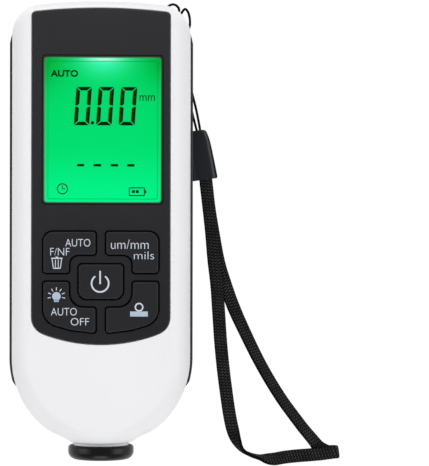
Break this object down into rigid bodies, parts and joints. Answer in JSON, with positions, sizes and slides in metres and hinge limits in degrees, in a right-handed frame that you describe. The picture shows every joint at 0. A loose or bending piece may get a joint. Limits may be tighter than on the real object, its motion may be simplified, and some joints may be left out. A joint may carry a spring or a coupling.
{
  "type": "coating thickness gauge",
  "caption": "Hand-held coating thickness gauge: pale moulded case with a round probe end, dark front panel with display and keys, sprung contact probe and a wrist strap.",
  "frame": {"origin": "on the surface that the gauge lies on, under the middle of its case without the wrist strap", "axes": "+Z out of the display, +Y from the probe to the top of the case, +X to the right of the display"},
  "size_m": [0.0883, 0.1233, 0.0264],
  "materials": {
    "white_plastic": "satin moulded plastic",
    "black_plastic": "fine-textured moulded plastic",
    "grip_rubber": "soft matte rubber",
    "panel_plastic": "dark satin overlay",
    "clear_lens": "clear polished plastic",
    "display_glass": "lit green display",
    "light_guide": "translucent light guide",
    "key_plastic": "satin key caps",
    "mat_rubber": "silicone mat",
    "board": "solder mask",
    "chip": "moulded package",
    "steel": "nickel plated",
    "cell_jacket": "printed cell jacket",
    "collar_plastic": "smooth black plastic",
    "probe_metal": "turned",
    "ferrite": "ground ferrite",
    "copper": "enamelled winding",
    "strap_string": "braided string",
    "sleeve_rubber": "satin moulded sleeve",
    "strap_webbing": "woven webbing"
  },
  "bodies": {
    "case": {"front_shell": "white_plastic", "rear_shell": "black_plastic", "left_grip": "grip_rubber", "right_grip": "grip_rubber", "front_panel": "panel_plastic", "window_lens": "clear_lens", "lcd_glass": "display_glass", "backlight": "light_guide", "keypad_mat": "mat_rubber", "circuit_board": "board", "control_chip": "chip", "buzzer": "chip", "board_screws": "steel", "case_screws": "steel", "battery_left": "cell_jacket", "battery_right": "cell_jacket", "contact_plates": "steel", "contact_springs": "steel", "probe_collar": "collar_plastic", "probe_tube": "probe_metal", "probe_spring": "steel", "probe_cap": "collar_plastic", "probe_lead": "chip", "strap_cord": "strap_string", "strap_sleeve": "sleeve_rubber", "strap_webbing": "strap_webbing"},
    "mode_key": {"key_mode": "key_plastic"},
    "unit_key": {"key_unit": "key_plastic"},
    "power_key": {"key_power": "key_plastic"},
    "light_key": {"key_light": "key_plastic"},
    "zero_key": {"key_zero": "key_plastic"},
    "sensor": {"probe_plunger": "collar_plastic", "probe_tip": "steel", "sensor_core": "ferrite", "sensor_coil": "copper"},
    "door": {"battery_door": "black_plastic"}
  },
  "joints": [
    {"name": "mode_press", "type": "slide", "parent": "case", "child": "mode_key", "axis": [0, 0, -1], "range_m": [0, 0.0008], "stiffness_N_per_m": 2000},
    {"name": "unit_press", "type": "slide", "parent": "case", "child": "unit_key", "axis": [0, 0, -1], "range_m": [0, 0.0008], "stiffness_N_per_m": 2000},
    {"name": "power_press", "type": "slide", "parent": "case", "child": "power_key", "axis": [0, 0, -1], "range_m": [0, 0.0008], "stiffness_N_per_m": 2000},
    {"name": "light_press", "type": "slide", "parent": "case", "child": "light_key", "axis": [0, 0, -1], "range_m": [0, 0.0008], "stiffness_N_per_m": 2000},
    {"name": "zero_press", "type": "slide", "parent": "case", "child": "zero_key", "axis": [0, 0, -1], "range_m": [0, 0.0008], "stiffness_N_per_m": 2000},
    {"name": "probe_press", "type": "slide", "parent": "case", "child": "sensor", "axis": [0, 1, 0], "range_m": [0, 0.0006], "stiffness_N_per_m": 1500, "deforming": ["probe_spring"]},
    {"name": "door_swing", "type": "hinge", "parent": "case", "child": "door", "pos_m": [0, 0.03865, 0.0003], "axis": [1, 0, 0], "range_deg": [0, 60]}
  ]
}
